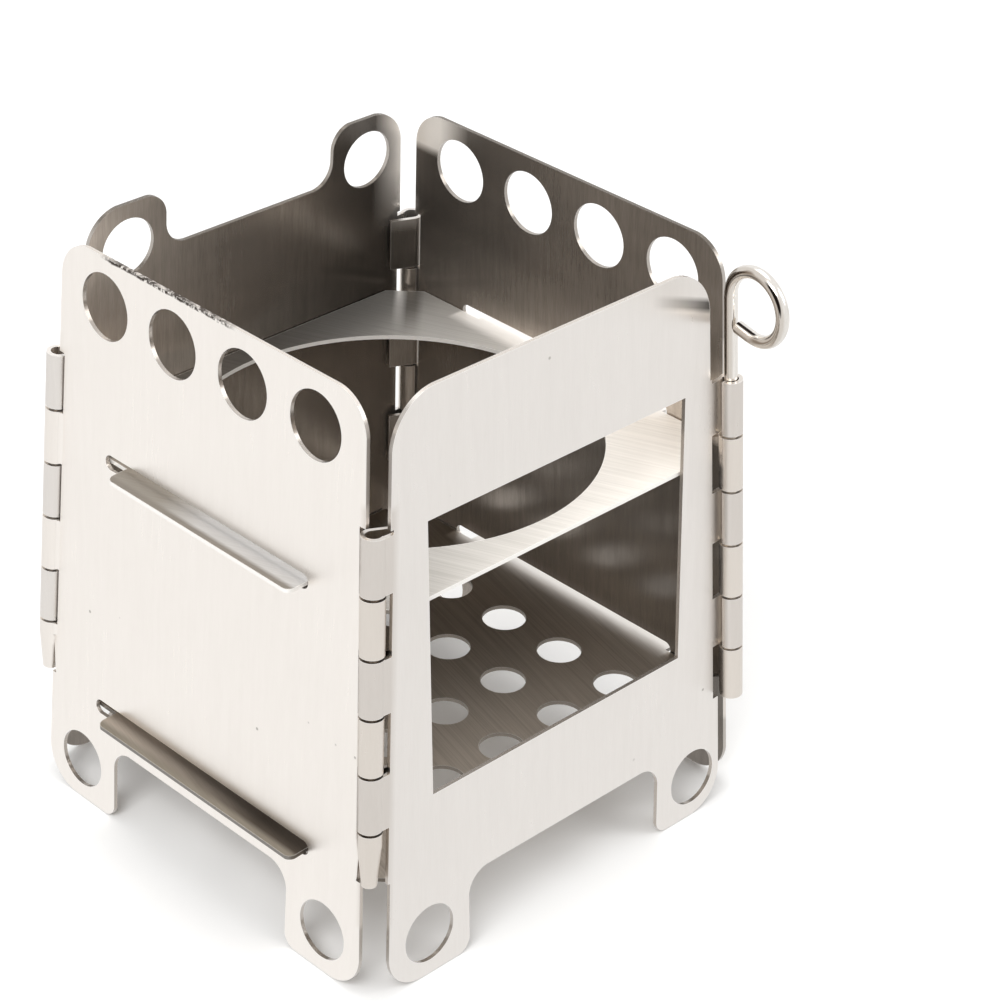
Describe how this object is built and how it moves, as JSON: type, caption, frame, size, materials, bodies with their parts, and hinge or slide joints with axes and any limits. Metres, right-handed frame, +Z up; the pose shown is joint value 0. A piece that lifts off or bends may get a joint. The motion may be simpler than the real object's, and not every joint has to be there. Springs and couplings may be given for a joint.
{
  "type": "folding twig stove",
  "caption": "Folding stainless steel twig stove with hinged sheet walls, a fuel window, a fire grate, a pot ring and a ring pin that locks its last corner.",
  "frame": {"origin": "middle of the ground between the feet", "axes": "+Z up, -Y towards the front wall with the fuel window, +X towards the pin corner's side"},
  "size_m": [0.105, 0.1103, 0.121],
  "materials": {
    "wall_steel": "fine upright brushed grain, satin",
    "plate_steel": "fine brushed grain, a little duller than the walls",
    "wire_steel": "drawn wire, bright"
  },
  "bodies": {
    "back": {"back_wall": "wall_steel", "pot_ring": "plate_steel", "fire_grate": "plate_steel"},
    "left": {"left_wall": "wall_steel", "left_hinge_wire": "wire_steel", "front_hinge_wire": "wire_steel"},
    "front": {"front_wall": "wall_steel"},
    "right": {"right_wall": "wall_steel", "back_hinge_wire": "wire_steel"},
    "pin": {"ring_pin": "wire_steel"}
  },
  "joints": [
    {"name": "left_wall_hinge", "type": "hinge", "parent": "back", "child": "left", "pos_m": [-0.0493, 0.0479, 0], "axis": [-0.0499, 0.0499, -0.9975], "range_deg": [0, 170]},
    {"name": "right_wall_hinge", "type": "hinge", "parent": "back", "child": "right", "pos_m": [0.0493, 0.0479, 0], "axis": [-0.0499, -0.0499, 0.9975], "range_deg": [0, 170]},
    {"name": "front_wall_hinge", "type": "hinge", "parent": "left", "child": "front", "pos_m": [-0.0493, -0.0479, 0], "axis": [-0.0499, -0.0499, -0.9975], "range_deg": [0, 170]},
    {"name": "ring_pin_slide", "type": "slide", "parent": "right", "child": "pin", "axis": [-0.0499, 0.0499, 0.9975], "range_m": [0, 0.08]}
  ]
}
